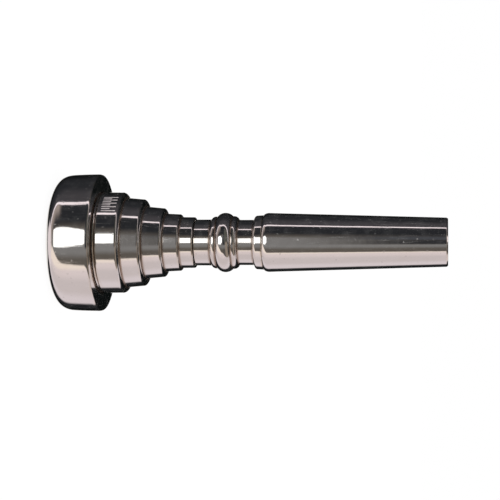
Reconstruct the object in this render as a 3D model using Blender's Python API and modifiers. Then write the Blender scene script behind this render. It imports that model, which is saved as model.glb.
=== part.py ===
"""A modular trumpet mouthpiece in silver-plated brass.

It stands on its rim: the origin is the middle of the plane that the rim's crest lies in, and +Z is the
bore's axis, running from the player's end to the tip of the shank. Six turned pieces share that axis.
A screw rim and a screw backbore meet in a stepped cup, each against a rubber ring, and a tapered sleeve
slips over the backbore's straight spigot.
"""
import math

import bmesh
import bpy
from mathutils import Matrix, Vector

MM = 0.001                      # the dimensions below are in millimetres
SEGMENTS = 32                   # facets round every turned piece

# Overall sizes.
LENGTH = 79.0                   # crest plane to shank tip
RIM_RADIUS = 13.95
RIM_LENGTH = 9.2
CREST_INNER = 9.35              # the crest is a narrow flat land
CREST_OUTER = 9.85
BITE_RADIUS = 8.25              # inner edge of the rim
RIM_BACK_EDGE = (0.24, 0.75)    # rounding of the rim's back edge: inwards and along the axis
ROLL_START = 4.4                # the outside starts to roll over to the crest here
ROLL_POWER = 3.5
RIM_INNER_DEPTH = 1.2           # the same for the rounding towards the bowl
THROAT_RADIUS = 1.83

# The cup's outside is five steps: start, end, radius at each, and the front edge's rounding inwards and along.
STEPS = (
    (9.69, 14.39, 10.27, 10.22, 1.15, 0.80),
    (14.39, 18.35, 9.12, 8.80, 0.90, 0.55),
    (18.35, 22.37, 7.32, 6.98, 0.75, 0.48),
    (22.37, 25.63, 5.88, 5.74, 0.55, 0.40),
    (25.63, 28.41, 5.20, 5.12, 0.32, 0.30),
)
FIRST_STEP_FOOT = ((10.27, 9.78), (10.20, 9.69))
GROOVE = (9.70, 9.58, 9.67)     # radius, start and end of the groove in front of the first step
COLLAR = ((9.93, 9.24), 9.95)   # chamfer's point, and radius beside the rubber ring

# Where the pieces meet.
GAP = 0.05                      # running gap between faces that touch on the real thing
BOWL_TOP = 3.0                  # seam between rim and cup inside the bowl
BOWL_TOP_RADIUS = 8.12
BOWL_END = 13.2                 # the bowl has become the throat here
ROLL_POINTS = 9
BOWL_POINTS = 9
BORE_POINTS = 8
SOCKET_FLOOR = 22.44            # bottom of the cup's socket for the backbore
CUP_END = STEPS[-1][1]
NECK_START = CUP_END + 0.19     # shoulder of the backbore, just clear of the cup
SEAM = 42.25                    # collar's face, where the sleeve starts

# Threads, all right-handed.
PITCH = 0.75
THREAD_DEPTH = 0.40
THREAD_CLEARANCE = 0.08
ROOT_HALF_WIDTH = 0.25
CREST_HALF_WIDTH = 0.06
RELIEF = 0.07                   # a relief bore is this much wider than the thread's roots
CHAMFER = 0.25
RIM_SOCKET_START = 4.6          # the rim's female thread starts here
CUP_SOCKET = (23.5, 27.1)       # start and end of the cup's female thread
TENON_THREAD_END = 27.4         # the backbore's threaded tenon becomes the ring's seat
RIM_THREAD_RADIUS = 9.20        # root radius of the cup's male thread
RIM_THREAD_START = 5.0
BACKBORE_THREAD_RADIUS = 3.40   # root radius of the backbore's male thread
BACKBORE_THREAD_START = 23.9
MALE_TURNS = 4
RIM_FEMALE_TURNS = 6.0          # enough for the groove to run out through both ends of its bore
CUP_FEMALE_TURNS = 5.75

# Rubber rings: middle radius, middle height, radius of the cord.
RIM_RING = (9.97, 8.75, 0.28)
BACKBORE_RING = (3.95, 28.25, 0.28)
RIM_RING_ROOM = 0.11            # room round the rim's ring in its counterbore
RING_SIDES = 8

# Backbore and shank.
NECK = (4.65, 31.68)            # radius and end of the first neck
SECOND_NECK = (4.56, 37.30)     # radius and start of the second neck
BEADS = (                       # centre, radii, arc in degrees from tip side to cup side, points
    ((4.35, 36.30), (0.98, 0.98), 75, -20, 5),
    ((4.50, 34.50), (1.50, 1.80), 54, -60, 7),
    ((4.30, 32.60), (0.95, 0.95), 20, -65, 5),
)
COLLAR_START = 40.46
COLLAR_ROUNDING = (0.57, 0.6)
COLLAR_RADIUS = 5.42            # at the seam; it swells to this before its rounding
COLLAR_FACE_EDGE = (0.07, 0.08)
SPIGOT_RADIUS = 4.50
SPIGOT_END = 78.7
SPIGOT_EDGE = 0.1
BORE_END_RADIUS = 4.05
SHANK_START_RADIUS = 5.94
SHOULDER = (0.55, 1.1)          # width and length of the shank's rounded shoulder
TIP_RADIUS = 4.88
TIP_EDGE = (0.12, 0.26)         # rounding of the tip: inwards and along the axis

SILVER = (0.74, 0.71, 0.70)
RUBBER = (0.055, 0.035, 0.028)


def clear_scene():
    """Remove every object, so that the file holds only the mouthpiece."""
    for item in list(bpy.data.objects):
        bpy.data.objects.remove(item, do_unlink=True)


def collection(name):
    """A collection of its own in the scene."""
    group = bpy.data.collections.new(name)
    bpy.context.scene.collection.children.link(group)
    return group


def material(name, colour, metallic, roughness):
    """A plain Principled material for one piece."""
    made = bpy.data.materials.new(name)
    made.use_nodes = True
    shader = made.node_tree.nodes["Principled BSDF"]
    shader.inputs["Base Color"].default_value = (*colour, 1.0)
    shader.inputs["Metallic"].default_value = metallic
    shader.inputs["Roughness"].default_value = roughness
    made.diffuse_color = (*colour, 1.0)
    return made


def arc(centre, radii, start, end, points):
    """Points on an ellipse: 0 degrees points outwards from the axis and 90 degrees points up it."""
    angles = [math.radians(start + (end - start) * i / (points - 1)) for i in range(points)]
    return [(centre[0] + radii[0] * math.cos(a), centre[1] + radii[1] * math.sin(a)) for a in angles]


def turned(name, outline, seat, finish, group, axis_empty):
    """One turned piece: a closed outline (radius, height) swept round the axis, with its origin at seat."""
    mesh = bpy.data.meshes.new(name)
    points = [(radius * MM, 0.0, (height - seat) * MM) for radius, height in outline]
    edges = [(i, (i + 1) % len(points)) for i in range(len(points))]
    mesh.from_pydata(points, edges, [])
    piece = bpy.data.objects.new(name, mesh)
    piece.location = (0.0, 0.0, seat * MM)
    piece.parent = axis_empty
    group.objects.link(piece)
    mesh.materials.append(finish)
    sweep = piece.modifiers.new("turn", "SCREW")
    sweep.axis = "Z"
    sweep.angle = math.tau
    sweep.steps = SEGMENTS
    sweep.render_steps = SEGMENTS
    sweep.use_merge_vertices = False
    sweep.use_smooth_shade = True
    return piece


def thread_ridge(name, root_radius, clearance, start, turns, group):
    """A helical ridge, as a male thread (clearance 0) or as the cutter of its female thread."""
    slope = (ROOT_HALF_WIDTH - CREST_HALF_WIDTH) / THREAD_DEPTH
    widening = clearance * math.hypot(1.0, slope)
    inner = root_radius - THREAD_CLEARANCE * (0.0 if clearance else 1.0)
    outer = root_radius + THREAD_DEPTH + clearance

    def half_width(radius):
        return ROOT_HALF_WIDTH + widening - slope * (radius - root_radius)

    corners = [(inner, half_width(inner)), (outer, half_width(outer)),
               (outer, -half_width(outer)), (inner, -half_width(inner))]
    shape = bmesh.new()
    corner_verts = [shape.verts.new((r * MM, 0.0, (start + h) * MM)) for r, h in corners]
    section = shape.faces.new(corner_verts)
    bmesh.ops.spin(shape, geom=[section, *section.edges, *corner_verts], cent=(0.0, 0.0, 0.0),
                   axis=(0.0, 0.0, 1.0), dvec=Vector((0.0, 0.0, PITCH * MM / SEGMENTS)),
                   angle=math.tau * turns, steps=int(SEGMENTS * turns), use_duplicate=False)
    half_facet = Matrix.Rotation(math.pi / SEGMENTS, 3, "Z")
    bmesh.ops.rotate(shape, verts=shape.verts, cent=(0.0, 0.0, 0.0), matrix=half_facet)
    bmesh.ops.recalc_face_normals(shape, faces=shape.faces)
    mesh = bpy.data.meshes.new(name)
    shape.to_mesh(mesh)
    shape.free()
    ridge = bpy.data.objects.new(name, mesh)
    ridge.hide_render = True
    ridge.display_type = "WIRE"
    group.objects.link(ridge)
    return ridge


def combine(piece, tool, operation):
    """Join a ridge to a piece, or cut it out of the piece."""
    step = piece.modifiers.new(tool.name, "BOOLEAN")
    step.operation = operation
    step.solver = "EXACT"
    step.object = tool


def roll_point(travel):
    """A point of the rim's roll-over, from its outside at travel 0 to the crest at travel 1."""
    radius = CREST_OUTER + (RIM_RADIUS - CREST_OUTER) * (1.0 - travel ** ROLL_POWER) ** 0.5
    return radius, ROLL_START * (1.0 - travel)


def rim_outline():
    """The ring that meets the lips, with a counterbore and a threaded bore in its back."""
    edge, edge_length = RIM_BACK_EDGE
    thread_crest = RIM_THREAD_RADIUS + THREAD_CLEARANCE
    relief = thread_crest + THREAD_DEPTH + RELIEF
    ring_floor = RIM_RING[1] - RIM_RING[2] - GAP
    counterbore = RIM_RING[0] + RIM_RING[2] + RIM_RING_ROOM
    outline = arc((RIM_RADIUS - edge, RIM_LENGTH - edge_length), RIM_BACK_EDGE, 90, 0, 4)
    outline += [roll_point(math.sin(0.5 * math.pi * i / ROLL_POINTS)) for i in range(ROLL_POINTS + 1)]
    outline += arc((CREST_INNER, RIM_INNER_DEPTH), (CREST_INNER - BITE_RADIUS, RIM_INNER_DEPTH), -90, -180, 5)
    outline += [(BOWL_TOP_RADIUS, BOWL_TOP), (relief, BOWL_TOP), (relief, RIM_SOCKET_START),
                (thread_crest, RIM_SOCKET_START), (thread_crest, ring_floor), (counterbore, ring_floor),
                (counterbore, RIM_LENGTH)]
    return outline


def bowl_point(depth):
    """A point of the bowl's wall: steep at depth 0, the seam, and running out into the throat at depth 1."""
    top = BOWL_TOP + GAP
    radius = THROAT_RADIUS + (BOWL_TOP_RADIUS - THROAT_RADIUS) * (1.0 - depth ** 2.6) ** 1.3
    return radius, top + (BOWL_END - top) * depth


def cup_outline():
    """The stepped cup: steps down its outside, then spigot, bowl, throat and the backbore's socket."""
    groove, groove_start, groove_end = GROOVE
    collar_point, collar = COLLAR
    socket_start, socket_end = CUP_SOCKET
    top = BOWL_TOP + GAP
    outline = []
    for start, end, start_radius, end_radius, inwards, along in reversed(STEPS):
        outline += arc((end_radius - inwards, end - along), (inwards, along), 90, 0, 3)
        outline.append((start_radius, start))
    outline[-1:] = FIRST_STEP_FOOT
    collar_face = RIM_RING[1] + RIM_RING[2] + GAP
    outline += [(groove, groove_end), (groove, groove_start), collar_point, (collar, collar_face),
                (RIM_THREAD_RADIUS, collar_face), (RIM_THREAD_RADIUS, top + CHAMFER),
                (RIM_THREAD_RADIUS - CHAMFER, top)]
    outline += [bowl_point(math.sin(0.5 * math.pi * i / BOWL_POINTS)) for i in range(BOWL_POINTS)]
    outline.append((THROAT_RADIUS, BOWL_END))
    thread_crest = BACKBORE_THREAD_RADIUS + THREAD_CLEARANCE
    relief = thread_crest + THREAD_DEPTH + RELIEF
    ring_floor = BACKBORE_RING[1] - BACKBORE_RING[2] - GAP
    counterbore = BACKBORE_RING[0] + BACKBORE_RING[2] + GAP
    outline += [(THROAT_RADIUS, SOCKET_FLOOR), (relief, SOCKET_FLOOR), (relief, socket_start),
                (thread_crest, socket_start), (thread_crest, socket_end), (relief, socket_end),
                (relief, ring_floor),
                (counterbore, ring_floor), (counterbore, CUP_END)]
    return outline


def bore_point(travel):
    """A point of the backbore's wall, which opens quickly at travel 0 and then slowly up to travel 1."""
    start = SOCKET_FLOOR + GAP
    radius = THROAT_RADIUS + (BORE_END_RADIUS - THROAT_RADIUS) * travel ** 0.7
    return radius, start + (SPIGOT_END - start) * travel


def backbore_outline():
    """The backbore: spigot, collar, two necks with three beads between them, and the threaded tenon."""
    tenon_start = SOCKET_FLOOR + GAP
    ring_seat = BACKBORE_RING[0] - BACKBORE_RING[2] - GAP
    neck, neck_end = NECK
    second_neck, second_neck_start = SECOND_NECK
    rounding, rounding_length = COLLAR_ROUNDING
    swelling, face_edge = COLLAR_FACE_EDGE
    outline = [(SPIGOT_RADIUS - SPIGOT_EDGE, SPIGOT_END), (SPIGOT_RADIUS, SPIGOT_END - SPIGOT_EDGE),
               (SPIGOT_RADIUS, SEAM), (COLLAR_RADIUS, SEAM), (COLLAR_RADIUS + swelling, SEAM - face_edge)]
    outline += arc((COLLAR_RADIUS - rounding, COLLAR_START + rounding_length), COLLAR_ROUNDING, 0, -90, 4)
    outline += [(second_neck, COLLAR_START), (second_neck, second_neck_start)]
    for centre, radii, start, end, points in BEADS:
        outline += arc(centre, radii, start, end, points)
    outline += [(neck, neck_end), (neck, NECK_START), (ring_seat, NECK_START), (ring_seat, TENON_THREAD_END),
                (BACKBORE_THREAD_RADIUS, TENON_THREAD_END), (BACKBORE_THREAD_RADIUS, tenon_start + CHAMFER),
                (BACKBORE_THREAD_RADIUS - CHAMFER, tenon_start)]
    outline += [bore_point((i / (BORE_POINTS - 1)) ** 1.5) for i in range(BORE_POINTS)]
    return outline


def sleeve_outline():
    """The tapered shank: a thin sleeve with a straight bore and a rounded shoulder at the seam."""
    inner = SPIGOT_RADIUS + GAP
    start = SEAM + GAP
    width, length = SHOULDER
    edge, edge_length = TIP_EDGE
    outline = arc((TIP_RADIUS - edge, LENGTH - edge_length), TIP_EDGE, 90, 0, 3)
    outline += arc((SHANK_START_RADIUS - width, start + length), SHOULDER, 0, -90, 5)
    outline += [(inner, start), (inner, LENGTH)]
    return outline


def ring_outline(ring):
    """The round section of a rubber ring."""
    radius, height, cord = ring
    return arc((radius, height), (cord, cord), 0, -360 + 360 / RING_SIDES, RING_SIDES)


def build():
    clear_scene()
    parts = collection("mouthpiece")
    cutters = collection("thread_tools")
    axis_empty = bpy.data.objects.new("mouthpiece_axis", None)
    parts.objects.link(axis_empty)

    pieces = {}
    for name, outline, seat in (("rim", rim_outline(), 0.0),
                                ("cup", cup_outline(), BOWL_TOP),
                                ("backbore", backbore_outline(), SOCKET_FLOOR),
                                ("shank_sleeve", sleeve_outline(), SEAM)):
        finish = material(name + "_silver_plate", SILVER, 1.0, 0.09)
        pieces[name] = turned(name, outline, seat, finish, parts, axis_empty)
    for name, ring in (("rim_o_ring", RIM_RING), ("backbore_o_ring", BACKBORE_RING)):
        finish = material(name + "_rubber", RUBBER, 0.0, 0.55)
        pieces[name] = turned(name, ring_outline(ring), ring[1], finish, parts, axis_empty)

    threads = (("rim", "cup", RIM_THREAD_RADIUS, RIM_THREAD_START, RIM_FEMALE_TURNS),
               ("cup", "backbore", BACKBORE_THREAD_RADIUS, BACKBORE_THREAD_START, CUP_FEMALE_TURNS))
    for female, male, root_radius, start, female_turns in threads:
        ridge = thread_ridge(male + "_thread", root_radius, 0.0, start, MALE_TURNS, cutters)
        combine(pieces[male], ridge, "UNION")
        cutter = thread_ridge(female + "_tap", root_radius, THREAD_CLEARANCE, start - PITCH, female_turns,
                              cutters)
        combine(pieces[female], cutter, "DIFFERENCE")


build()
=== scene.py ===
# %% [markdown]
# # A modular trumpet mouthpiece in silver plate
# The mouthpiece is six turned parts on one axis: a screw rim, a stepped cup, a backbore with three beads,
# a tapered shank sleeve and two rubber rings. It stands on its rim, and +Z is the axis of its bore.
# This lesson makes each part at full detail inside the plain solids of the packed model, gives them a
# silver and a rubber finish, and lights them as polished metal is lit: by what it has to reflect.
# %% Load the packed model
import math

import bmesh
import bpy
from mathutils import Matrix, Vector


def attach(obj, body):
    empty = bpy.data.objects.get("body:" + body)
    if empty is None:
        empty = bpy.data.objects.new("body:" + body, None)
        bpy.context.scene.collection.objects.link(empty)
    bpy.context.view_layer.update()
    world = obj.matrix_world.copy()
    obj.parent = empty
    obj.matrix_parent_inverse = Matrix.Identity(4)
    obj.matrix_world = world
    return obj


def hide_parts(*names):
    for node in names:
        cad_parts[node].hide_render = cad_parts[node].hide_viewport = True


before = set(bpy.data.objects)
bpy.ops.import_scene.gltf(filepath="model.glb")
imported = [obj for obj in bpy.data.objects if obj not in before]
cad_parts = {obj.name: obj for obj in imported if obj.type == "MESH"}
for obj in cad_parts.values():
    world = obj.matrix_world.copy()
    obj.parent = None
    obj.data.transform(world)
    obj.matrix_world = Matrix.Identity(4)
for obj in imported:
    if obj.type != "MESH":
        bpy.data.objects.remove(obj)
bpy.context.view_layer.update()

# %% [markdown]
# ## Sizes
# A turner works from a drawing in millimetres, so the lesson does too and changes to metres only when a
# mesh is made. These are the sizes that several parts share: where a seam falls, both sides need it.
# %% Sizes in millimetres
MM = 0.001
FACETS = 168                    # round every turned part: one facet is about two degrees
GAP = 0.05                      # running gap between faces that touch
BOWL_SEAM = 3.0                 # the rim meets the cup here, inside the bowl
BOWL_RADIUS = 8.12              # radius of the bowl at that seam
SPIGOT = 9.20                   # radius of the cup's spigot, on which the rim's thread runs
TENON = 3.40                    # radius of the backbore's tenon, on which the cup's thread runs
CORE = 4.50                     # radius of the tube that carries the shank sleeve
THROAT = 1.83                   # radius of the narrowest hole
SOCKET_FLOOR = 22.44            # bottom of the cup's socket for the backbore
CUP_END = 28.41
SLEEVE_SEAM = 42.25             # collar's face, where the sleeve starts
LENGTH = 79.0

RIM_RING = (9.97, 8.75, 0.28)           # middle radius, height and cord radius of each rubber ring
BACKBORE_RING = (3.95, 28.25, 0.28)

PITCH = 0.75
THREAD_DEPTH = 0.40
THREAD_CLEARANCE = 0.08
RELIEF = 0.07                   # undercuts at a thread's ends are deeper than the thread by this much
print("thread: %.2f mm pitch, %.2f mm deep" % (PITCH, THREAD_DEPTH))

# %% [markdown]
# ## Outlines
# Every part here comes off a lathe, so half of its cross-section says everything about it. An outline is
# a loop of points (radius, height). Real edges are never sharp: a corner can carry a rounding, which is
# drawn as a short curve, and it is that curve that catches the light along each edge.
# %% Draw an outline with rounded corners
def arc(centre, radii, start, end, points=20):
    """Points on an ellipse: 0 degrees points outwards from the axis and 90 degrees points up it."""
    angles = [math.radians(start + (end - start) * i / (points - 1)) for i in range(points)]
    return [(centre[0] + radii[0] * math.cos(a), centre[1] + radii[1] * math.sin(a), 0.0) for a in angles]


def rounded(corners, points=6):
    """Replace each corner (radius, height, rounding) by a curve that leaves both its sides smoothly."""
    longest = 0.42                  # a rounding takes at most this share of either side
    smooth = []
    count = len(corners)
    for i, (radius, height, rounding) in enumerate(corners):
        here = Vector((radius, height))
        if rounding == 0.0:
            smooth.append(here)
            continue
        before = Vector(corners[i - 1][:2]) - here
        after = Vector(corners[(i + 1) % count][:2]) - here
        reach = min(rounding, longest * before.length, longest * after.length)
        first = here + before.normalized() * reach
        last = here + after.normalized() * reach
        for step in range(points + 1):
            t = step / points
            smooth.append((1 - t) ** 2 * first + 2 * t * (1 - t) * here + t ** 2 * last)
    return smooth


def with_holding_points(loop, distances=(0.05, 0.16, 0.40), shortest=0.18):
    """Add points near both ends of each long straight, so that the shading of an edge stays at the edge."""
    held = []
    for here, ahead in zip(loop, loop[1:] + loop[:1]):
        held.append(here)
        length = (ahead - here).length
        near = [d for d in distances if d < 0.45 * length and length > shortest]
        for d in near:
            held.append(here.lerp(ahead, d / length))
        for d in reversed(near):
            held.append(here.lerp(ahead, 1 - d / length))
    return held


print("points in a rounded square:", len(rounded([(1, 0, 0.1), (2, 0, 0.1), (2, 1, 0.1), (1, 1, 0.1)])))

# %% [markdown]
# ## Where it wears and where it tarnishes
# Silver stays bright where a cloth reaches it and turns brown in the corners where it doesn't. Both follow
# from how the outline bends, so the bend is measured here and stored with each point: "recess" is high
# in an inner corner and "edge" is high on an outer one. The finish reads them later.
# %% Measure the bends of an outline
def bends(loop, spread=0.16):
    """How much the outline turns inwards and outwards near each point, from 0 to 1."""
    straight = 1e-4                 # a turn of fewer radians than this counts as none
    count = len(loop)
    along = [0.0]
    for i in range(count):
        along.append(along[-1] + (loop[(i + 1) % count] - loop[i]).length)
    total = along[-1]
    turning = []
    for i in range(count):
        coming = loop[i] - loop[i - 1]
        going = loop[(i + 1) % count] - loop[i]
        turning.append(math.atan2(coming.x * going.y - coming.y * going.x, coming.dot(going)))
    recess, edge = [], []
    for i in range(count):
        inwards = outwards = 0.0
        for j in range(count):
            apart = abs(along[i] - along[j])
            apart = min(apart, total - apart)
            if apart < 4 * spread and abs(turning[j]) > straight:
                weight = math.exp(-0.5 * (apart / spread) ** 2)
                inwards += max(0.0, turning[j]) * weight
                outwards += max(0.0, -turning[j]) * weight
        recess.append(min(1.0, inwards))
        edge.append(min(1.0, outwards))
    return recess, edge

# %% [markdown]
# ## Sums on sockets
# Geometry trees and shader trees are both made of small sums. Writing them as Python expressions keeps
# them readable, so one small class wraps a socket: adding two wires makes the Math node that adds them.
# Any other node comes from its `node` method, which takes the type, the settings and the sockets.
# %% A class that turns Python sums into nodes
class Wire:
    """An output socket of a node tree, which Python's operators can be used on."""

    def __init__(self, tree, socket=None):
        self.tree = tree
        self.socket = socket

    def node(self, kind, settings=None, sockets=None, output=0):
        """Any node: its type, its settings, then the values or wires of its input sockets."""
        made = self.tree.nodes.new(kind)
        for name, value in (settings or {}).items():
            setattr(made, name, value)
        for name, value in (sockets or {}).items():
            if isinstance(value, Wire):
                self.tree.links.new(value.socket, made.inputs[name])
            else:
                made.inputs[name].default_value = value
        return Wire(self.tree, made.outputs[output])

    def math(self, operation, *terms):
        """The Math node of an operation on wires and numbers."""
        return self.node("ShaderNodeMath", {"operation": operation}, dict(enumerate(terms)))

    def __add__(self, other):
        return self.math("ADD", self, other)

    def __sub__(self, other):
        return self.math("SUBTRACT", self, other)

    def __mul__(self, other):
        return self.math("MULTIPLY", self, other)

    def __truediv__(self, other):
        return self.math("DIVIDE", self, other)

    def __radd__(self, other):
        return self.math("ADD", other, self)

    def __rsub__(self, other):
        return self.math("SUBTRACT", other, self)

    def __rmul__(self, other):
        return self.math("MULTIPLY", other, self)

    def __abs__(self):
        return self.math("ABSOLUTE", self)

    def least(self, other):
        """The smaller one of this wire and another value."""
        return self.math("MINIMUM", self, other)

    def most(self, other):
        """The larger one of this wire and another value."""
        return self.math("MAXIMUM", self, other)

    def part(self, letter):
        """One coordinate of a vector."""
        return self.node("ShaderNodeSeparateXYZ", {}, {0: self}, "XYZ".index(letter))


def soft_step(wire, low, high, kind="LINEAR"):
    """0 below one value and 1 above another, in a straight line or smoothly between them."""
    return wire.node("ShaderNodeMapRange", {"interpolation_type": kind}, {
        "Value": wire, "From Min": low, "From Max": high})


def tinted(mask, colour, other):
    """A colour that becomes another one where the mask is 1. Each is a wire or red, green and blue."""
    pair = [side if isinstance(side, Wire) else (*side, 1.0) for side in (colour, other)]
    return mask.node("ShaderNodeMix", {"data_type": "RGBA"}, {0: mask, 6: pair[0], 7: pair[1]}, 2)


print("a wire's own methods:", [name for name in vars(Wire) if not name.startswith("_")])

# %% [markdown]
# ## The lathe, as a Geometry Nodes tree
# All the turned parts follow one rule: sweep the outline round the axis. The tree takes the outline as a
# loop of edges, makes a curve of it and sweeps it round a small circle. A second rule cuts the screw
# threads into the swept surface: a point moves outwards by how near it is to a helix. The helix passes a
# given direction once per pitch, so the nearest pass is found by rounding to whole turns. A part can carry
# an outer and an inner thread, so the tree cuts twice, each time with its own sizes.
# %% Build the lathe tree
PATH_RADIUS = 1.0               # the sweep's circle; the outline is shifted in by as much
THREAD_SIZES = ("start", "turns", "half width", "depth")
FADE = 0.12                     # a thread rises from nothing over this share of a turn at both ends


def new_tree(name, numbers, whole_numbers):
    """An empty tree, and the wires of its inputs: a shape, the named sizes and a finish."""
    tree = bpy.data.node_groups.new(name, "GeometryNodeTree")
    kinds = {"Shape": "NodeSocketGeometry", "Finish": "NodeSocketMaterial"}
    kinds.update({size: "NodeSocketFloat" for size in numbers})
    kinds.update({size: "NodeSocketInt" for size in whole_numbers})
    for label, kind in kinds.items():
        tree.interface.new_socket(name=label, in_out="INPUT", socket_type=kind)
    tree.interface.new_socket(name="Result", in_out="OUTPUT", socket_type="NodeSocketGeometry")
    entry = tree.nodes.new("NodeGroupInput")
    return tree, {socket.name: Wire(tree, socket) for socket in entry.outputs if socket.name}


def end_tree(shape, finish):
    """Make instances real, give the shape its finish and lead it out of the tree."""
    real = shape.node("GeometryNodeRealizeInstances", {}, {"Geometry": shape})
    finished = shape.node("GeometryNodeSetMaterial", {}, {"Geometry": real, "Material": finish})
    out = shape.tree.nodes.new("NodeGroupOutput")
    shape.tree.links.new(finished.socket, out.inputs[0])


def threaded(shape, given, side):
    """Move the points marked for one thread outwards by how near they are to its helix."""
    first, turns, half_width, depth = (given[f"{side} {size}"] for size in THREAD_SIZES)
    place = shape.node("GeometryNodeInputPosition")
    x, y, z = place.part("X"), place.part("Y"), place.part("Z")
    turn_share = y.math("ARCTAN2", y, x) / math.tau
    climb = (z * (1 / MM) - first) / given["Pitch"]
    helix = climb.math("ROUND", climb - turn_share) + turn_share
    away = abs(climb - helix) * given["Pitch"]
    height = ((half_width - away) / given["Slope"]).most(0.0).least(depth)
    run_in = (helix / FADE).most(0.0).least(1.0)
    run_out = ((turns - helix) / FADE).most(0.0).least(1.0)
    outwards = shape.node("ShaderNodeVectorMath", {"operation": "NORMALIZE"}, {
        0: shape.node("ShaderNodeCombineXYZ", {}, {"X": x, "Y": y})})
    shift = shape.node("ShaderNodeVectorMath", {"operation": "SCALE"}, {
        0: outwards, "Scale": height * run_in * run_out * MM})
    marked = shape.node("GeometryNodeInputNamedAttribute", {"data_type": "FLOAT"}, {"Name": side})
    return shape.node("GeometryNodeSetPosition", {}, {
        "Geometry": shape, "Selection": marked.math("GREATER_THAN", marked, 0.5), "Offset": shift})


def lathe_tree():
    """The tree that turns an outline and cuts its threads."""
    sizes = ["Pitch", "Slope"] + [f"{side} {size}" for side in ("outer", "inner") for size in THREAD_SIZES]
    tree, given = new_tree("lathe", sizes, ["Facets"])
    outline = given["Shape"]
    profile = outline.node("GeometryNodeMeshToCurve", {}, {"Mesh": outline})
    profile = outline.node("GeometryNodeTransform", {}, {
        "Geometry": profile, "Translation": (-PATH_RADIUS * MM, 0.0, 0.0),
        "Rotation": (math.pi / 2, 0.0, 0.0)})
    circle = outline.node("GeometryNodeCurvePrimitiveCircle", {"mode": "RADIUS"},
                          {"Resolution": given["Facets"], "Radius": PATH_RADIUS * MM})
    shape = outline.node("GeometryNodeCurveToMesh", {}, {"Curve": circle, "Profile Curve": profile})
    for side in ("outer", "inner"):
        shape = threaded(shape, given, side)
    smooth = shape.node("GeometryNodeSetShadeSmooth", {}, {"Geometry": shape})
    end_tree(smooth, given["Finish"])
    return tree


LATHE = lathe_tree()
print("lathe tree:", len(LATHE.nodes), "nodes")

# %% [markdown]
# ## Turning a part
# `turn` stores the outline as a mesh of edges with its bends, runs the lathe tree on it and keeps the
# result as a plain mesh. Two parts of a threaded pair use the same helix: the male thread is a ridge on
# its root, and the female one is a groove that is wider by the clearance.
# %% Turn an outline into a part
THREAD_SLOPE = 0.475            # a flank runs this far along for each millimetre that it rises
RIDGE, GROOVE = 0.25, 0.301     # half widths where a ridge stands on its root and where a groove opens
ROWS_PER_TURN = 12              # rows of points for each pitch of a thread
SAME = 1e-6                     # radii closer than this are one radius


def run_tree(blank, tree, values):
    """Run a tree on an object with named values, and return the result as a plain mesh."""
    step = blank.modifiers.new("make", "NODES")
    step.node_group = tree
    for item in tree.interface.items_tree:
        if item.in_out == "INPUT" and item.name in values:
            step[item.identifier] = values[item.name]
    bpy.context.view_layer.update()
    result = blank.evaluated_get(bpy.context.evaluated_depsgraph_get())
    mesh = bpy.data.meshes.new_from_object(result)
    blank.modifiers.remove(step)
    return mesh


def volume(mesh):
    """Signed volume in cubic centimetres: it is positive when the faces point outwards."""
    shape = bmesh.new()
    shape.from_mesh(mesh)
    amount = shape.calc_volume(signed=True) * 1e6
    shape.free()
    return amount


def thread(radius, low, high, start, turns, half_width):
    """A thread's sizes, and the radius and the two heights between which the outline carries it."""
    return {"radius": radius, "low": low, "high": high, "start": start, "turns": turns,
            "half width": half_width, "depth": THREAD_DEPTH}


def dense_between(loop, cut):
    """Fill the stretch that carries a thread with points close enough to draw the thread's flanks."""
    dense = []
    for here, ahead in zip(loop, loop[1:] + loop[:1]):
        dense.append(here)
        at_radius = max(abs(here.x - cut["radius"]), abs(ahead.x - cut["radius"])) < SAME
        if at_radius and min(here.y, ahead.y) < cut["high"] and max(here.y, ahead.y) > cut["low"]:
            count = int(abs(ahead.y - here.y) / (PITCH / ROWS_PER_TURN))
            dense += [here.lerp(ahead, (i + 1) / (count + 1)) for i in range(count)]
    return dense


def turn(name, corners, finish, **threads):
    """One turned part from its outline, with an outer and an inner thread where they are given."""
    loop = with_holding_points(rounded(corners))
    for cut in threads.values():
        loop = dense_between(loop, cut)
    recess, edge = bends(loop)
    mesh = bpy.data.meshes.new(name + "_outline")
    count = len(loop)
    points = [(p.x * MM, 0.0, p.y * MM) for p in loop]
    mesh.from_pydata(points, [(i, (i + 1) % count) for i in range(count)], [])
    marks = {"recess": recess, "edge": edge}
    values = {"Facets": FACETS, "Pitch": PITCH, "Slope": THREAD_SLOPE, "Finish": finish}
    for side, cut in threads.items():
        marks[side] = [float(abs(p.x - cut["radius"]) < SAME and cut["low"] < p.y < cut["high"])
                       for p in loop]
        values.update({f"{side} {size}": cut[size] for size in THREAD_SIZES})
    for label, numbers in marks.items():
        mesh.attributes.new(label, "FLOAT", "POINT").data.foreach_set("value", numbers)
    part = bpy.data.objects.new(name, mesh)
    bpy.context.scene.collection.objects.link(part)
    part.data = run_tree(part, LATHE, values)
    if volume(part.data) < 0:
        part.data.flip_normals()
    part.data.calc_loop_triangles()
    print("%s: %d outline points, %d triangles, %.2f cm3" % (
        name, count, len(part.data.loop_triangles), volume(part.data)))
    return part

# %% [markdown]
# ## Silver plate
# Polished silver is a mirror with a history: a slightly warm tint, fine lines left round the part by the
# polishing lathe, hairline scratches along it, a few dull specks, brown tarnish in the inner corners and a
# hint of the brass on outer edges, where years of polishing have thinned the plate.
# The mirror comes from a metallic shader with low roughness; the history from noise in Object
# coordinates and from the "recess" and "edge" values stored on the mesh.
# %% Make the silver finish
def new_finish(name):
    """A new material, its shader and a wire with the place of each point on its part."""
    made = bpy.data.materials.new(name)
    made.use_nodes = True
    shader = made.node_tree.nodes["Principled BSDF"]
    return made, shader, Wire(made.node_tree).node("ShaderNodeTexCoord", {}, {}, "Object")


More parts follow.
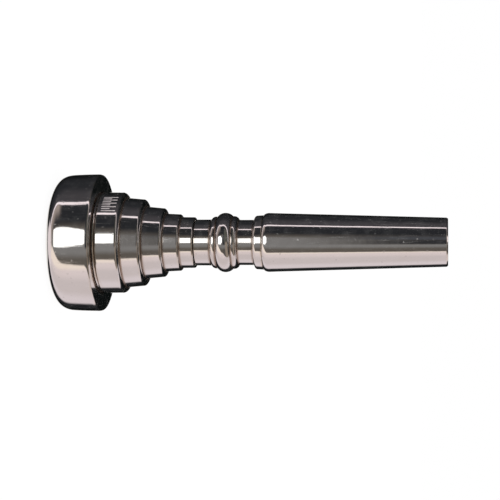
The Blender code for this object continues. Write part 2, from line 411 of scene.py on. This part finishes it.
def feed(shader, wires):
    """Link wires to the shader's sockets of the same names."""
    for name, wire in wires.items():
        wire.tree.links.new(wire.socket, shader.inputs[name])


def noise(place, scale, detail):
    """Noise from 0 to 1. Three scales instead of one stretch it."""
    if isinstance(scale, tuple):
        place = place.node("ShaderNodeMapping", {}, {"Vector": place, "Scale": scale})
        scale = 1.0
    return place.node("ShaderNodeTexNoise", {}, {"Vector": place, "Scale": scale, "Detail": detail}, "Fac")


def relief(height, metres, strength=1.0):
    """A bump from a height, whose 1 stands for so many metres."""
    return height.node("ShaderNodeBump", {}, {"Height": height, "Strength": strength, "Distance": metres})


def silver_finish():
    """Silver plate that tarnishes in corners and thins on edges, with polishing lines, hairs and specks."""
    made, shader, place = new_finish("silver_plate")
    recess = place.node("ShaderNodeAttribute", {"attribute_name": "recess"}, {}, "Fac")
    edge = place.node("ShaderNodeAttribute", {"attribute_name": "edge"}, {}, "Fac")

    clouds = noise(place, 170.0, 4.0)                           # slow changes over several millimetres
    patches = noise(place, 520.0, 5.0)                          # blotches of two millimetres
    waves = noise(place, 700.0, 1.5)                            # hollows left by the polishing cloth
    lines = noise(place, (300.0, 300.0, 9000.0), 3.0)           # rings left by the lathe
    hairs = noise(place, (5200.0, 5200.0, 130.0), 2.0)          # scratches along the part
    distance = place.node("ShaderNodeTexVoronoi", {"feature": "F1"}, {"Vector": place, "Scale": 620.0},
                          "Distance")
    speck = 1.0 - soft_step(distance, 0.05, 0.16)
    tarnish = (recess * (0.55 + clouds * 0.9)).most(0.0).least(1.0)
    film = soft_step(clouds, 0.52, 0.78)
    thin = soft_step(edge, 0.25, 0.9) * soft_step(patches, 0.36, 0.62)
    haze = soft_step(patches, 0.50, 0.78) * 0.025 + soft_step(hairs, 0.60, 0.78) * 0.04 + speck * 0.05

    colour = tinted(film * 0.35, (0.955, 0.935, 0.915), (0.86, 0.82, 0.77))
    colour = tinted(thin * 0.45, colour, (0.90, 0.76, 0.58))
    colour = tinted(tarnish * 0.85, colour, (0.36, 0.25, 0.18))
    colour = tinted(speck * 0.22, colour, (0.30, 0.26, 0.24))
    roughness = 0.04 + clouds * 0.03 + soft_step(hairs, 0.58, 0.75) * 0.16 + tarnish * 0.22 + speck * 0.2
    micrometres = waves * 5.0 + lines * 0.15 + hairs * 0.25 + clouds * 6.0 - speck * 1.0
    feed(shader, {"Base Color": colour, "Roughness": roughness, "Metallic": 1.0 - haze,
                  "Normal": relief(micrometres, 1e-6)})
    return made


SILVER = silver_finish()
print("silver finish:", len(SILVER.node_tree.nodes), "nodes")

# %% [markdown]
# ## Rubber
# The two rings are black-brown rubber, matt and slightly uneven, with a trace of silicone grease that
# makes patches of them shine.
# %% Make the rubber finish
def rubber_finish():
    """Soft black rubber with greasy patches."""
    made, shader, place = new_finish("ring_rubber")
    patches = noise(place, 420.0, 3.0)
    grain = noise(place, 6000.0, 2.0)
    feed(shader, {"Base Color": tinted(patches, (0.022, 0.017, 0.015), (0.06, 0.042, 0.034)),
                  "Roughness": 0.75 - patches * 0.35, "Normal": relief(grain, 0.00002, 0.3)})
    return made


RUBBER = rubber_finish()
print("rubber finish:", len(RUBBER.node_tree.nodes), "nodes")

# %% [markdown]
# ## The rim
# The ring that meets the lips. Its outside swells very slightly, then rolls over to the crest ever more
# tightly, and inside the crest it drops into the bowl. Its back is bored and threaded for the cup. A circle
# or an ellipse would start to bend all at once and show as a break in the reflections, so the roll-over is
# a power curve, whose bend grows from nothing.
# %% Turn the rim
RIM_RADIUS = 13.95
RIM_LENGTH = 9.2
CREST_RADIUS = 9.85             # the crest is the foremost circle, where the lips rest
BACK_EDGE = (0.24, 0.75)        # rounding of the back edge, in and along
BARREL_START = RIM_LENGTH - BACK_EDGE[1]
SWELL = 0.0050                  # the outside draws in by this, times its distance from BARREL_START squared
ROLL_START = 4.4                # the roll-over starts this far behind the crest
ROLL_POWER = 3.5
BITE = (1.10, 1.2)              # rounding of the inner edge behind the crest, in and along
RELIEF_END = 4.6                # the undercut in front of the thread ends at this height
rim_bore = SPIGOT + THREAD_CLEARANCE
rim_relief = rim_bore + THREAD_DEPTH + RELIEF
ring_floor = RIM_RING[1] - RIM_RING[2] - GAP
counterbore = RIM_RING[0] + RIM_RING[2] + 0.11


def barrel(height):
    """Radius of the slightly swelling outside, which is widest where the back edge's rounding starts."""
    return RIM_RADIUS - SWELL * (BARREL_START - height) ** 2


def roll_point(travel):
    """A point of the roll-over, from the outside at travel 0 to the crest at travel 1."""
    height = ROLL_START * (1.0 - travel)
    return CREST_RADIUS + (barrel(height) - CREST_RADIUS) * (1.0 - travel ** ROLL_POWER) ** 0.5, height, 0.0


rim_corners = arc((RIM_RADIUS - BACK_EDGE[0], BARREL_START), BACK_EDGE, 90, 0, 16)
for i in range(1, 12):
    height = BARREL_START + (ROLL_START - BARREL_START) * i / 12
    rim_corners.append((barrel(height), height, 0.0))
rim_corners += [roll_point(math.sin(0.5 * math.pi * i / 47)) for i in range(48)]
rim_corners += arc((9.35, BITE[1]), BITE, -90, -180, 16)
rim_corners += [
    (BOWL_RADIUS, BOWL_SEAM, 0.06), (rim_relief, BOWL_SEAM, 0.05), (rim_relief, RELIEF_END, 0.05),
    (rim_bore, RELIEF_END, 0.05), (rim_bore, ring_floor, 0.05), (counterbore, ring_floor, 0.05),
    (counterbore, RIM_LENGTH, 0.08)]
rim = turn("screw_rim", rim_corners, SILVER,
           inner=thread(rim_bore, RELIEF_END, ring_floor, start=4.25, turns=6.0, half_width=GROOVE))

# %% [markdown]
# ## The cup
# Its outside is cut in five steps, each a short cylinder with a rounded back edge and a small fillet at
# its foot. In front of the first step are a narrow groove and a collar, and then the spigot with the male
# thread for the rim. Inside is the bowl, which falls steeply and runs out into the throat. One power law
# gives that shape, which on the real part follows a form tool.
# %% Turn the stepped cup
STEPS = (                       # start, end, radius at each, and the back edge's rounding in and along
    (9.69, 14.39, 10.27, 10.22, 1.15, 0.80),
    (14.39, 18.35, 9.12, 8.80, 0.90, 0.55),
    (18.35, 22.37, 7.32, 6.98, 0.75, 0.48),
    (22.37, 25.63, 5.88, 5.74, 0.55, 0.40),
    (25.63, 28.41, 5.17, 5.14, 0.32, 0.30),
)
STEP_CORNER = 0.32              # fillet in the inner corner at the foot of each step
BOWL_TOP = BOWL_SEAM + GAP
BOWL_END = 13.2
BOWL_POWERS = (2.6, 1.3)        # the power of the depth, and of what is left when that is taken from 1
BOWL_ROWS = 40
CUP_THREAD = (23.5, 27.1)       # heights between which the socket is threaded
RING_SEAT = 4.28                # radius of the seat bored for the rubber ring


def bowl_point(depth):
    """A point of the bowl's wall, from the seam at depth 0 to the throat at depth 1."""
    radius = THROAT + (BOWL_RADIUS - THROAT) * (1.0 - depth ** BOWL_POWERS[0]) ** BOWL_POWERS[1]
    return radius, BOWL_TOP + (BOWL_END - BOWL_TOP) * depth, 0.0


cup_corners = []
for step_start, step_end, start_radius, end_radius, inwards, along in reversed(STEPS):
    cup_corners += arc((end_radius - inwards, step_end - along), (inwards, along), 90, 0, 12)
    cup_corners.append((start_radius, step_start, STEP_CORNER))
cup_corners[-1:] = [(10.27, 9.78, 0.06), (10.2, 9.69, 0.03)]
collar_face = RIM_RING[1] + RIM_RING[2] + GAP
cup_corners += [
    (9.70, 9.67, 0.03), (9.70, 9.58, 0.03), (9.93, 9.24, 0.08), (9.95, collar_face, 0.05),
    (SPIGOT, collar_face, 0.04), (SPIGOT, BOWL_TOP + 0.25, 0.05), (SPIGOT - 0.25, BOWL_TOP, 0.05)]
cup_corners += [bowl_point(i / BOWL_ROWS) for i in range(BOWL_ROWS)]
socket_bore = TENON + THREAD_CLEARANCE
socket_relief = socket_bore + THREAD_DEPTH + RELIEF
ring_seat_floor = BACKBORE_RING[1] - BACKBORE_RING[2] - GAP
cup_corners += [
    (THROAT, BOWL_END, 0.0), (THROAT, SOCKET_FLOOR, 0.05), (socket_relief, SOCKET_FLOOR, 0.05),
    (socket_relief, CUP_THREAD[0], 0.05), (socket_bore, CUP_THREAD[0], 0.05),
    (socket_bore, CUP_THREAD[1], 0.05), (socket_relief, CUP_THREAD[1], 0.05),
    (socket_relief, ring_seat_floor, 0.05), (RING_SEAT, ring_seat_floor, 0.05), (RING_SEAT, CUP_END, 0.06)]
cup = turn("stepped_cup", cup_corners, SILVER,
           outer=thread(SPIGOT, 4.2, 8.6, start=5.0, turns=4.0, half_width=RIDGE),
           inner=thread(socket_bore, *CUP_THREAD, start=23.15, turns=5.75, half_width=GROOVE))

# %% [markdown]
# ## Tally marks
# A maker numbers the sizes of a cup with marks cut round its first step and filled with white. Plain long
# and short strokes are used here. One stroke is a thin flattened rod; the tree sets copies of it on points
# along an arc, turned to face outwards, and shortens every second one. Instances are made real at the end,
# because the exported model keeps only real geometry.
# %% Mark the first step
def tally_tree():
    """The tree that sets flattened strokes along an arc round the axis."""
    tree, given = new_tree("tally marks", (
        "Radius", "Height", "Length", "Half width", "Half thickness", "First angle", "Last angle",
        "Shortening"), ["Count"])
    start = given["Shape"]

    def vector(**parts):
        return start.node("ShaderNodeCombineXYZ", {}, parts)

    section = start.node("GeometryNodeCurvePrimitiveCircle", {"mode": "RADIUS"},
                         {"Resolution": 10, "Radius": MM})
    section = start.node("GeometryNodeTransform", {}, {
        "Geometry": section, "Scale": vector(X=given["Half thickness"], Y=given["Half width"], Z=1.0)})
    spine = start.node("GeometryNodeCurvePrimitiveLine", {}, {
        "Start": (0.0, 0.0, 0.0), "End": vector(Z=given["Length"] * MM)})
    stroke = start.node("GeometryNodeCurveToMesh", {}, {
        "Curve": spine, "Profile Curve": section, "Fill Caps": True})
    points = start.node("GeometryNodeMeshLine", {"mode": "OFFSET"}, {"Count": given["Count"]})
    index = start.node("GeometryNodeInputIndex")
    share = index / (given["Count"] - 1.0)
    angle = given["First angle"] + (given["Last angle"] - given["First angle"]) * share
    spot = vector(X=angle.math("COSINE", angle) * given["Radius"] * MM,
                  Y=angle.math("SINE", angle) * given["Radius"] * MM, Z=given["Height"] * MM)
    points = start.node("GeometryNodeSetPosition", {}, {"Geometry": points, "Position": spot})
    odd = index.math("MODULO", index, 2.0)
    strokes = start.node("GeometryNodeInstanceOnPoints", {}, {
        "Points": points, "Instance": stroke, "Rotation": vector(Z=angle),
        "Scale": vector(X=1.0, Y=1.0, Z=1.0 - odd * given["Shortening"])})
    end_tree(strokes, given["Finish"])
    return tree


def filling_finish():
    """White enamel rubbed into the strokes, slightly dirty and uneven."""
    made, shader, place = new_finish("white_filling")
    dirt = noise(place, 2600.0, 2.0)
    feed(shader, {"Base Color": tinted(dirt, (0.86, 0.78, 0.79), (0.40, 0.35, 0.35)),
                  "Roughness": 0.45 + dirt * 0.4, "Normal": relief(dirt, 4e-6)})
    return made


marks = bpy.data.objects.new("size_marks", bpy.data.meshes.new("size_marks"))
bpy.context.scene.collection.objects.link(marks)
marks.data = run_tree(marks, tally_tree(), {
    "Radius": 10.235, "Height": 10.55, "Length": 2.9, "Half width": 0.11, "Half thickness": 0.045,
    "First angle": math.radians(-128.0), "Last angle": math.radians(-152.0), "Count": 9,
    "Shortening": 0.42, "Finish": filling_finish()})
if volume(marks.data) < 0:
    marks.data.flip_normals()
print("size marks:", len(marks.data.polygons), "faces")

# %% [markdown]
# ## The backbore
# A slim tube with a threaded tenon, two plain necks and, between them, a large bead with a small one on
# each side. It ends in a collar, and behind the collar a straight spigot carries the shank sleeve.
# %% Turn the backbore
TUBE_END = 78.7
TENON_START = SOCKET_FLOOR + GAP
NECK_START = CUP_END + 0.19
SEAT = 3.62                     # radius of the plain seat between the thread and the neck
SEAT_START = 27.4
BORE_GROWTH, BORE_POWER = 2.22, 0.7     # how much wider the bore gets, and how soon


def bore_point(travel):
    """A point of the backbore's wall, which opens quickly at travel 0 and then slowly up to travel 1."""
    height = TENON_START + (TUBE_END - TENON_START) * travel
    return THROAT + BORE_GROWTH * travel ** BORE_POWER, height, 0.0


tube_corners = [
    (CORE, TUBE_END, 0.1), (CORE, SLEEVE_SEAM, 0.04), (5.42, SLEEVE_SEAM, 0.05), (5.49, 42.17, 0.05)]
tube_corners += arc((4.85, 41.06), (0.57, 0.6), 0, -90, 12)
tube_corners += [(4.56, 40.46, 0.06), (4.56, 37.30, 0.06)]
tube_corners += arc((4.35, 36.30), (0.98, 0.98), 75, -20, 16)
tube_corners += arc((4.50, 34.50), (1.50, 1.80), 54, -60, 32)
tube_corners += arc((4.30, 32.60), (0.95, 0.95), 20, -65, 16)
tube_corners += [
    (4.65, 31.68, 0.06), (4.65, NECK_START, 0.06), (SEAT, NECK_START, 0.04), (SEAT, SEAT_START, 0.04),
    (TENON, SEAT_START, 0.04), (TENON, TENON_START + 0.25, 0.05), (TENON - 0.25, TENON_START, 0.05)]
tube_corners += [bore_point((i / 15) ** 1.5) for i in range(16)]
tube = turn("backbore_tube", tube_corners, SILVER,
            outer=thread(TENON, 23.2, 27.2, start=23.9, turns=4.0, half_width=RIDGE))

# %% [markdown]
# ## The shank sleeve
# The part that goes into the instrument: a thin tube with a straight taper outside, a rounded shoulder
# at the seam and a small chamfer at the tip.
# %% Turn the sleeve
sleeve_corners = [(4.68, LENGTH, 0.05), (4.88, LENGTH - 0.30, 0.06)]
sleeve_corners += arc((5.39, 43.40), (0.55, 1.1), 0, -90, 20)
sleeve_corners += [(CORE + GAP, SLEEVE_SEAM + GAP, 0.05), (CORE + GAP, LENGTH, 0.06)]
sleeve = turn("shank_taper", sleeve_corners, SILVER)

# %% [markdown]
# ## The rubber rings
# Each ring is a plain round cord that the two metal parts squeeze between them. It is turned like the
# rest, from a circle.
# %% Turn the rings
def ring(name, sizes):
    """A rubber ring from its middle radius, its height and its cord's radius."""
    radius, height, cord = sizes
    return turn(name, arc((radius, height), (cord, cord), 0, -345, 24), RUBBER)


rim_seal = ring("rim_seal_ring", RIM_RING)
tube_seal = ring("backbore_seal_ring", BACKBORE_RING)

# %% [markdown]
# ## What moves with what
# Each finished part stands for one solid of the packed model and rides on that solid's body.
# %% Tie the parts to the bodies
for part, body, slot in (
        (rim, "rim", "silver_plate"), (cup, "cup", "silver_plate"), (tube, "backbore", "silver_plate"),
        (sleeve, "shank_sleeve", "silver_plate"), (rim_seal, "rim_o_ring", "rubber"),
        (tube_seal, "backbore_o_ring", "rubber")):
    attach(part, body)
    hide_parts(body)
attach(marks, "cup")

# %% [markdown]
# ## Floor
# A plain pale floor. It is left out of the metal's reflections, since a mirror standing on a white sheet
# would show only that.
# %% Lay the floor
FLOOR_REACH = 6.0               # metres from the middle to each side
floor_mesh = bpy.data.meshes.new("floor")
corners = [(x * FLOOR_REACH, y * FLOOR_REACH, 0.0) for x, y in ((-1, -1), (1, -1), (1, 1), (-1, 1))]
floor_mesh.from_pydata(corners, [], [(0, 1, 2, 3)])
floor = bpy.data.objects.new("floor", floor_mesh)
bpy.context.scene.collection.objects.link(floor)
pale = bpy.data.materials.new("pale_floor")
pale.use_nodes = True
pale_shader = pale.node_tree.nodes["Principled BSDF"]
pale_shader.inputs["Base Color"].default_value = (0.10, 0.10, 0.10, 1.0)
pale_shader.inputs["Roughness"].default_value = 1.0
pale_shader.inputs["Specular IOR Level"].default_value = 0.0
pale_shader.inputs["Emission Color"].default_value = (1.0, 1.0, 1.0, 1.0)
pale_shader.inputs["Emission Strength"].default_value = 0.93
floor_mesh.materials.append(pale)
floor.visible_glossy = False

# %% [markdown]
# ## The studio
# Polished metal has no colour of its own to speak of: it shows the room. So the light is a room, drawn by
# direction as soft-edged panels. A direction is two angles: the heading, counted from the front towards
# the left-hand side of the part, and the height above the horizon. Each colour is laid over the ones before
# it where its mask is 1.
# %% Measure directions in the studio
world = bpy.data.worlds.new("studio")
bpy.context.scene.world = world
world.use_nodes = True
room_tree = world.node_tree
room_tree.nodes.clear()
room = Wire(room_tree)
DEGREES = 180 / math.pi
direction = room.node("ShaderNodeTexCoord", {}, {}, "Generated")
east, north, up = direction.part("X"), direction.part("Y"), direction.part("Z")
west = 0.0 - east
heading = room.math("ARCTAN2", west, 0.0 - north) * DEGREES
height = room.math("ARCSINE", up) * DEGREES
off_front = room.math("ARCCOSINE", 0.0 - north) * DEGREES


def rise(wire, at, soft):
    """0 below an angle and 1 above it, with a soft edge of so many degrees to each side."""
    return soft_step(wire, at - soft, at + soft, "SMOOTHSTEP")


def panel(wire, low, high, soft_low, soft_high):
    """1 between two angles, with a soft edge at each."""
    return rise(wire, low, soft_low) * (1.0 - rise(wire, high, soft_high))


def over(below, colour, mask):
    """Lay a colour over another where the mask is 1."""
    return tinted(mask, below, colour)


print("studio measures:", len(room_tree.nodes), "nodes")

# %% [markdown]
# ## The room in front and behind
# Most of the room is dark, so that the metal keeps its contrast. In front it has grey surfaces that darken
# upwards, with a dark beam and a brown one. Behind the part stands a tall soft panel, which only views from
# behind show.
# %% Paint the room
DARK_ROOM, LEFT_WALL, FAR_SIDE = (0.020, 0.021, 0.024), (0.052, 0.049, 0.054), (0.003, 0.004, 0.004)
SOFT_PANEL = (0.86, 0.84, 0.82)
WARM_GREY, PLAIN_GREY, BLUE_GREY = (0.105, 0.092, 0.080), (0.195, 0.190, 0.187), (0.058, 0.061, 0.070)
DARK_BEAM, OLIVE, BROWN_BEAM = (0.024, 0.025, 0.029), (0.085, 0.083, 0.072), (0.25, 0.205, 0.165)

light = over(DARK_ROOM, LEFT_WALL, panel(heading, 66, 98, 8, 14))
light = over(light, FAR_SIDE, rise(abs(heading), 140, 22))
light = over(light, SOFT_PANEL, rise(abs(heading), 168, 4) * panel(height, -62, -4, 4, 2))

left_of_centre = rise(heading, -10, 4)
dimming = 0.74 * rise(height, -0.5, 4.5) * left_of_centre + 0.3 * rise(height, 5, 6)
near_level = 1.0 - rise(height, -0.3, 3.2) * left_of_centre
light = over(light, WARM_GREY, panel(heading, -60, 30, 8, 9) * (1.0 - dimming).most(0.0))
light = over(light, PLAIN_GREY, panel(heading, -23, 20, 8, 7) * near_level)
light = over(light, DARK_BEAM, panel(heading, -7, 6, 3, 5) * panel(height, 1.2, 14, 1.6, 4) * 0.7)
light = over(light, BLUE_GREY, panel(heading, 11, 25, 4, 6) * panel(height, 0.5, 14, 2, 4))
light = over(light, OLIVE, panel(heading, 0, 58, 6, 10) * rise(height, 14, 6))
light = over(light, BROWN_BEAM, panel(heading, -98, 2, 12, 5) * panel(height, 29, 56, 8, 6))
print("studio with its room:", len(room_tree.nodes), "nodes")

# %% [markdown]
# ## The pale wall
# A long pale wall on the right gives the broad bright band along every part. It is creamy at its near edge
# and pinker farther away, and the near edge leans away as it goes up.
# %% Paint the wall
WALL_FAR, WALL, WALL_MIDDLE, WALL_NEAR = (
    (0.66, 0.59, 0.61), (0.57, 0.505, 0.505), (0.68, 0.59, 0.585), (0.84, 0.73, 0.65))

lean = (height + 14.0) * 0.25 + (height - 4.0).most(0.0) * 0.6 - (-16.0 - height).most(0.0) * 0.45
near_edge = -38.5 - lean
wall = tinted(rise(heading, -99, 11), WALL_FAR, WALL)
wall = over(wall, WALL_MIDDLE, rise(heading, -62, 10))
wall = over(wall, WALL_NEAR, rise(heading, -46, 5))
on_wall = rise(heading, -125.5, 5) * (1.0 - rise(heading - near_edge, 0, 2.2)) * (1.0 - rise(height, 58, 8))
light = over(light, wall, on_wall)
print("studio with its wall:", len(room_tree.nodes), "nodes")

# %% [markdown]
# ## Window, slit and table
# A window in front is the brightest thing in the room. Round the left runs a thin bright slit, which draws
# the fine line along the part, with a brown shade inside it low down. The pale table lies straight below.
# %% Paint the window, the slit and the table
WINDOW, SLIT = (1.5, 1.5, 1.48), (0.92, 0.82, 0.85)
SHADE, TABLE = (0.33, 0.275, 0.25), (0.72, 0.64, 0.65)

half_width = 10.6 + ((-12.6 - height) * 1.1).most(0.0).least(6.5)
window = (1.0 - rise(abs(heading - 9.0) - half_width, 0, 1.6)) * panel(height, -47, -6, 3, 0.8)
light = over(light, WINDOW, window)

from_slit = off_front - 11.0 * (1.0 - rise(height, -26, 14))
light = over(light, SLIT, panel(from_slit, 66.8, 72.0, 0.8, 0.8) * rise(heading, 0, 10))
in_shade = panel(from_slit, 50, 67, 13, 1) * (1.0 - rise(height, -24, 5)) * rise(heading, -14, 10)
light = over(light, SHADE, in_shade)
below_edge = -0.92 - 0.03 * rise(north, 0.1, 0.2) - up
light = over(light, TABLE, rise(below_edge, 0.0, 0.025) * (1.0 - rise(west, 0.30, 0.12)))
print("studio with its window:", len(room_tree.nodes), "nodes")

# %% [markdown]
# ## Who sees the room
# Only reflections see the painted room. The floor and the background get even white light instead, which
# keeps them plain.
# %% Light the scene
EVEN_WHITE = (1.0, 1.0, 1.0)
seen_by_metal = room.node("ShaderNodeLightPath", {}, {}, "Is Glossy Ray")
shown = tinted(seen_by_metal, EVEN_WHITE, light)
background = room.node("ShaderNodeBackground", {}, {"Color": shown, "Strength": 1.0})
room_out = room_tree.nodes.new("ShaderNodeOutputWorld")
room_tree.links.new(background.socket, room_out.inputs["Surface"])
print("studio:", len(room_tree.nodes), "nodes")

# %% [markdown]
# ## The camera
# The mouthpiece is shown lying across the picture, so the camera is turned a quarter round: the right of
# the picture is up along the bore. It looks down at the floor by a few degrees, through a long lens.
# %% Place the camera
camera_data = bpy.data.cameras.new("camera")
camera_data.sensor_width = 36.0
camera_data.lens = 108.0
camera_data.clip_start = 0.01
camera_data.clip_end = 50.0
camera = bpy.data.objects.new("camera", camera_data)
bpy.context.scene.collection.objects.link(camera)
CAMERA_PLACE = (0.00152, -0.299914, 0.077308)
pitch, roll = math.radians(7.2), math.radians(0.04)
right = Vector((0.0, math.sin(pitch), math.cos(pitch)))
top = Vector((-1.0, 0.0, 0.0))
back = right.cross(top)
rolled_right = right * math.cos(roll) - top * math.sin(roll)
rolled_top = top * math.cos(roll) + right * math.sin(roll)
turned = Matrix((rolled_right, rolled_top, back)).transposed().to_4x4()
camera.matrix_world = Matrix.Translation(CAMERA_PLACE) @ turned
bpy.context.scene.camera = camera
bpy.context.scene.view_settings.view_transform = "Standard"
print("camera is %.0f mm from the axis" % (-camera.location.y * 1000))
